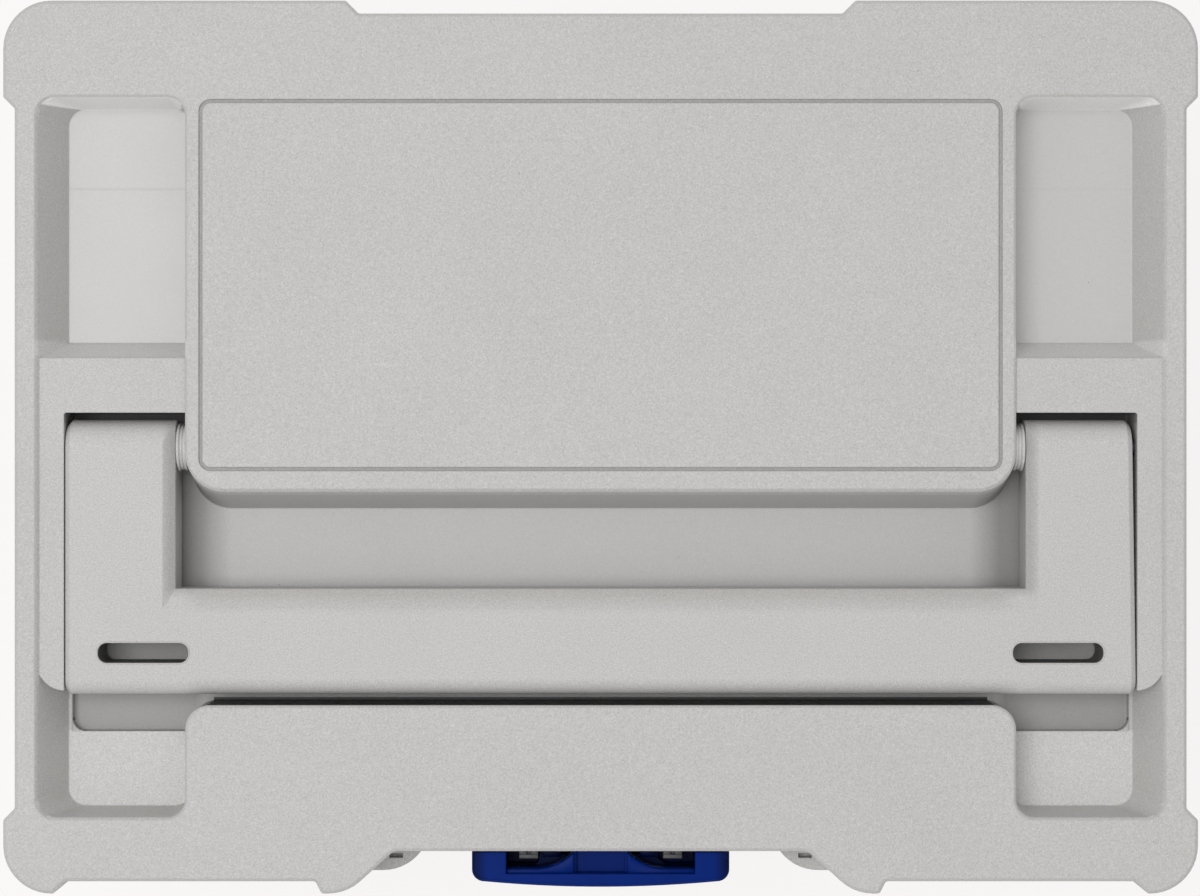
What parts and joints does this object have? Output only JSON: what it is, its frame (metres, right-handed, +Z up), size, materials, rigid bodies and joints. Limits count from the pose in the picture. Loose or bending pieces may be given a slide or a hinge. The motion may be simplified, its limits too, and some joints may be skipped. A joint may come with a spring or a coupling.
{
  "type": "stackable tool case",
  "caption": "Stackable plastic tool case with a hinged lid, folding lid handle, stacking pockets, a turning front latch and a folding front handle.",
  "frame": {"origin": "middle of the case, on the plane that the feet stand on", "axes": "+Z up, +X to the right seen from the front, -Y out of the front with the latch, +Y to the hinges"},
  "size_m": [0.396, 0.296, 0.187],
  "materials": {
    "case_grey": "fine moulded grain",
    "handle_grey": "fine moulded grain",
    "bush_grey": "smooth",
    "latch_blue": "satin moulded",
    "pin_steel": "zinc plated",
    "spring_steel": "bright"
  },
  "bodies": {
    "body": {"body_shell": "case_grey", "hinge_pin_left": "pin_steel", "hinge_pin_right": "pin_steel", "latch_bush": "bush_grey", "latch_detent_spring": "spring_steel", "front_handle_pin_left": "pin_steel", "front_handle_pin_right": "pin_steel", "front_bracket_left": "handle_grey", "front_bracket_right": "handle_grey", "front_bracket_screws": "pin_steel"},
    "lid": {"lid_shell": "case_grey", "handle_pin_left": "pin_steel", "handle_pin_right": "pin_steel", "handle_bush_left": "bush_grey", "handle_bush_right": "bush_grey"},
    "handle": {"lid_handle": "handle_grey"},
    "latch": {"latch_knob": "latch_blue", "latch_washer": "pin_steel", "latch_screw": "pin_steel"},
    "front_carry_handle": {"front_handle": "handle_grey"}
  },
  "joints": [
    {"name": "lid_hinge", "type": "hinge", "parent": "body", "child": "lid", "pos_m": [0, 0.1426, 0.147], "axis": [-1, 0, 0], "range_deg": [0, 100]},
    {"name": "lid_handle_fold", "type": "hinge", "parent": "lid", "child": "handle", "pos_m": [0, 0, 0.1776], "axis": [-1, 0, 0], "range_deg": [0, 90]},
    {"name": "latch_turn", "type": "hinge", "parent": "body", "child": "latch", "pos_m": [0, -0.1349, 0.139], "axis": [0, 1, 0], "range_deg": [0, 90]},
    {"name": "front_handle_fold", "type": "hinge", "parent": "body", "child": "front_carry_handle", "pos_m": [0, -0.1415, 0.084], "axis": [-1, 0, 0], "range_deg": [0, 90]}
  ]
}
